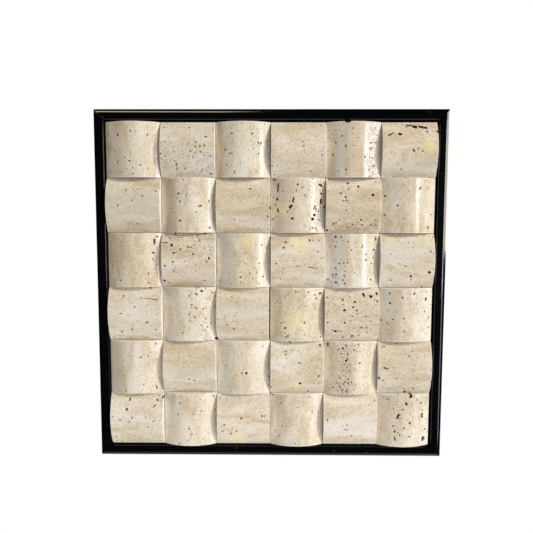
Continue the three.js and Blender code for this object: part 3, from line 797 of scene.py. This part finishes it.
chance = random.Random(tile["seed"])
tileTree = archedTileTree()
for row in range(1, tile["rows"] + 1):
    for column in range(1, tile["rows"] + 1):
        makeTile(tileTree, row, column, chance)
print("tiles made")


# Frame: wood mouldings sprayed with black gloss lacquer, which mirrors the lights with a faint orange peel
lacquer = {
    "colour": "#050607",
    "roughness": 0.1,
    "roughnessSpread": 0.08,
    "handlingSize": 25 * mm,
    "peelSize": 1.4 * mm,
    "peelDepth": 0.02 * mm,
    "peelStrength": 0.25,
    "dust": "#8d8f92",
    "dustSpacing": 9 * mm,
    "dustEdge": (0.045, 0.03),  # outer and inner radius, as shares of the spacing
    "dustCover": 0.8,
    "easedEdge": 0.05 * mm,
    "index": 1.65,
}


def lacquerMaterial():
    material, tree, shader = newMaterial("blackLacquerGloss")
    place = addNode(tree, "ShaderNodeTexCoord").outputs["Object"]
    peel = addNode(tree, "ShaderNodeTexNoise", {}, {
        "Vector": place, "Scale": 1 / lacquer["peelSize"], "Detail": 1})
    bump = addNode(tree, "ShaderNodeBump", {}, {
        "Height": peel, "Distance": lacquer["peelDepth"], "Strength": lacquer["peelStrength"]})
    dust = addNode(tree, "ShaderNodeTexVoronoi", {}, {"Vector": place, "Scale": 1 / lacquer["dustSpacing"]})
    speck = addNode(tree, "ShaderNodeMapRange", {}, {
        "Value": dust.outputs["Distance"], "From Min": lacquer["dustEdge"][0],
        "From Max": lacquer["dustEdge"][1], "To Max": lacquer["dustCover"]})
    colour = addNode(tree, "ShaderNodeMix", {"data_type": "RGBA"}, {
        "Factor": speck, "A": linear(lacquer["colour"]), "B": linear(lacquer["dust"])})
    handled = addNode(tree, "ShaderNodeTexNoise", {}, {
        "Vector": place, "Scale": 1 / lacquer["handlingSize"], "Detail": 3})
    spread = lacquer["roughnessSpread"]
    roughness = addNode(tree, "ShaderNodeMath", {"operation": "MULTIPLY_ADD"}, {
        0: handled, 1: spread, 2: lacquer["roughness"] - spread / 2})
    tree.links.new(colour.outputs[2], shader.inputs["Base Color"])
    tree.links.new(roughness.outputs[0], shader.inputs["Roughness"])
    tree.links.new(bump.outputs[0], shader.inputs["Normal"])
    shader.inputs["IOR"].default_value = lacquer["index"]
    return material


# Board: wood fibreboard stained black, with a matt felted surface
fibreboard = {
    "stops": ((0.3, "#17150f"), (0.7, "#2a261d")),
    "fibreSize": 0.6 * mm,
    "fibreDepth": 0.1 * mm,
    "fibreStrength": 0.5,
    "roughness": 0.85,
    "easedEdge": 0.4 * mm,
}


def fibreboardMaterial():
    material, tree, shader = newMaterial("fibreboardStainedMatt")
    place = addNode(tree, "ShaderNodeTexCoord").outputs["Object"]
    fibre = addNode(tree, "ShaderNodeTexNoise", {}, {
        "Vector": place, "Scale": 1 / fibreboard["fibreSize"], "Detail": 3, "Distortion": 1.5})
    colour = setStops(addNode(tree, "ShaderNodeValToRGB", {}, {"Fac": fibre}), fibreboard["stops"])
    bump = addNode(tree, "ShaderNodeBump", {}, {
        "Height": fibre, "Distance": fibreboard["fibreDepth"], "Strength": fibreboard["fibreStrength"]})
    tree.links.new(colour.outputs["Color"], shader.inputs["Base Color"])
    tree.links.new(bump.outputs[0], shader.inputs["Normal"])
    shader.inputs["Roughness"].default_value = fibreboard["roughness"]
    return material


# Edges of the rails and the board, angles in degrees
easing = {
    "mergeGap": 0.01 * mm,
    "flatAngle": 1,
    "sharpAngle": 40,
    "smoothAngle": 35,
}


def easedCopy(node, width, material):  # the CAD node's form, with its sharp edges eased
    mesh = bpy.data.objects[node].data.copy()
    form = bmesh.new()
    form.from_mesh(mesh)
    bmesh.ops.remove_doubles(form, verts=form.verts, dist=easing["mergeGap"])
    flat = math.radians(easing["flatAngle"])
    bmesh.ops.dissolve_limit(form, angle_limit=flat, verts=form.verts, edges=form.edges)
    sharp = [edge for edge in form.edges if edge.calc_face_angle(0) > math.radians(easing["sharpAngle"])]
    bmesh.ops.bevel(form, geom=sharp, offset=width, segments=2, profile=0.5, affect="EDGES")
    for face in form.faces:
        face.smooth = True
    for edge in form.edges:
        edge.smooth = edge.calc_face_angle(0) < math.radians(easing["smoothAngle"])
    form.to_mesh(mesh)
    form.free()
    mesh.materials.clear()
    mesh.materials.append(material)
    piece = bpy.data.objects.new(node + "_finished", mesh)
    bpy.context.collection.objects.link(piece)
    levelled = piece.modifiers.new("flatFacesStayFlat", "WEIGHTED_NORMAL")
    levelled.keep_sharp = True
    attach(piece, "root")
    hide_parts(node)
    return piece


lacquerCoat = lacquerMaterial()
rails = {side: easedCopy("frame_" + side, lacquer["easedEdge"], lacquerCoat)
         for side in ("left", "top", "right", "bottom")}
easedCopy("backing_board", fibreboard["easedEdge"], fibreboardMaterial())
print("frame and board made")


# Studio: a pale floor well below the panel, and soft light, mostly from the right
floor = {"colour": "#e9e7e2", "roughness": 0.8, "height": -1.2, "radius": 1.3, "segments": 96}

floorMesh = bpy.data.meshes.new("floor")
floorForm = bmesh.new()
bmesh.ops.create_circle(floorForm, cap_ends=True, radius=floor["radius"], segments=floor["segments"])
floorForm.to_mesh(floorMesh)
floorForm.free()
floorMesh.transform(Matrix.Translation((0, 0, floor["height"])))
floorMaterial, _, floorShader = newMaterial("plasterMatt")
floorShader.inputs["Base Color"].default_value = linear(floor["colour"])
floorShader.inputs["Roughness"].default_value = floor["roughness"]
floorMesh.materials.append(floorMaterial)
floorPiece = bpy.data.objects.new("floor", floorMesh)
bpy.context.collection.objects.link(floorPiece)

# Lights stand at a distance from the panel's middle, turned to it. Azimuth runs to the right of the panel's
# normal, elevation up from the level, in degrees, and brightness is what a mirror would show. The gloss of
# the lacquer and the wax shows only those that are mirrored.
lights = {
    "daylight": {"azimuth": 59, "elevation": 25, "distance": 2.5, "size": (0.6, 0.6),
                 "brightness": 61, "colour": "#f4f3f0", "mirrored": False},
    "window": {"azimuth": 36.5, "elevation": 4, "distance": 2.5, "size": (0.34, 0.96),
               "brightness": 14, "colour": "#fbfbff", "mirrored": True},
    "ceiling": {"azimuth": -15, "elevation": 48, "distance": 1.5, "size": (0.8, 0.8),
                "brightness": 1.6, "colour": "#fff3d8", "mirrored": False},
    "floorLeft": {"azimuth": -30, "elevation": -38, "distance": 0.55, "size": (0.25, 0.25),
                  "brightness": 3.6, "colour": "#fbfbff", "mirrored": False},
    "floorRight": {"azimuth": 55, "elevation": -60, "distance": 0.55, "size": (0.25, 0.25),
                   "brightness": 2.2, "colour": "#f6f6ff", "mirrored": False},
    "lowFront": {"azimuth": 15, "elevation": -30, "distance": 0.55, "size": (0.25, 0.25),
                 "brightness": 2.2, "colour": "#cfe2ff", "mirrored": False},
    "behind": {"azimuth": 200, "elevation": 25, "distance": 2, "size": (1.5, 1.5),
               "brightness": 1.2, "colour": "#ffffff", "mirrored": True},
}
# Reflector cards at the right and overhead, each shown by the lacquer of one rail alone
cards = {
    "cardRight": {"azimuth": 90, "elevation": 11, "distance": 2, "size": (4, 0.9),
                  "brightness": 7, "colour": "#fff5e0", "rail": "right"},
    "cardLow": {"azimuth": 45, "elevation": -15, "distance": 2, "size": (0.5, 0.75),
                "brightness": 4.5, "colour": "#d3dcff", "rail": "right"},
    "cardTop": {"azimuth": -29, "elevation": 46, "distance": 1.2, "size": (0.7, 0.35),
                "brightness": 8, "colour": "#ffeaa8", "rail": "top"},
}


def addLight(name, own, dull, gloss):  # whether it lights dull surfaces, and whether gloss shows it
    data = bpy.data.lights.new(name, "AREA")
    data.shape = "RECTANGLE"
    data.size, data.size_y = own["size"]
    data.energy = own["brightness"] * math.pi * data.size * data.size_y
    data.color = linear(own["colour"])[:3]
    azimuth = math.radians(own["azimuth"])
    elevation = math.radians(own["elevation"])
    level = math.cos(elevation)
    away = Vector((math.sin(azimuth) * level, -math.cos(azimuth) * level, math.sin(elevation)))
    light = bpy.data.objects.new(name, data)
    light.location = away * own["distance"]
    light.rotation_euler = away.to_track_quat("Z", "Y").to_euler()
    light.visible_diffuse = dull
    light.visible_glossy = gloss
    light.visible_camera = False
    bpy.context.collection.objects.link(light)
    return light


for name, own in cards.items():
    shownBy = bpy.data.collections.new(name + "ShownBy")
    shownBy.objects.link(rails[own["rail"]])
    addLight(name, own, False, True).light_linking.receiver_collection = shownBy
for name, own in lights.items():
    addLight(name, own, True, own["mirrored"])

# The camera sees white, glossy surfaces mirror a dim studio, and the rest get a weak even light
surroundings = {"seen": "#ffffff", "mirrored": "#101114", "even": "#1c160a"}
world = bpy.data.worlds.new("studio")
bpy.context.scene.world = world
world.use_nodes = True
worldTree = world.node_tree
background = worldTree.nodes["Background"]
rays = addNode(worldTree, "ShaderNodeLightPath")
lit = addNode(worldTree, "ShaderNodeMix", {"data_type": "RGBA"}, {
    "Factor": rays.outputs["Is Glossy Ray"],
    "A": linear(surroundings["even"]), "B": linear(surroundings["mirrored"])})
seen = addNode(worldTree, "ShaderNodeMix", {"data_type": "RGBA"}, {
    "Factor": rays.outputs["Is Camera Ray"],
    "A": lit.outputs[2], "B": linear(surroundings["seen"])})
worldTree.links.new(seen.outputs[2], background.inputs["Color"])
bpy.context.scene.view_settings.view_transform = "Standard"
print("studio lit")
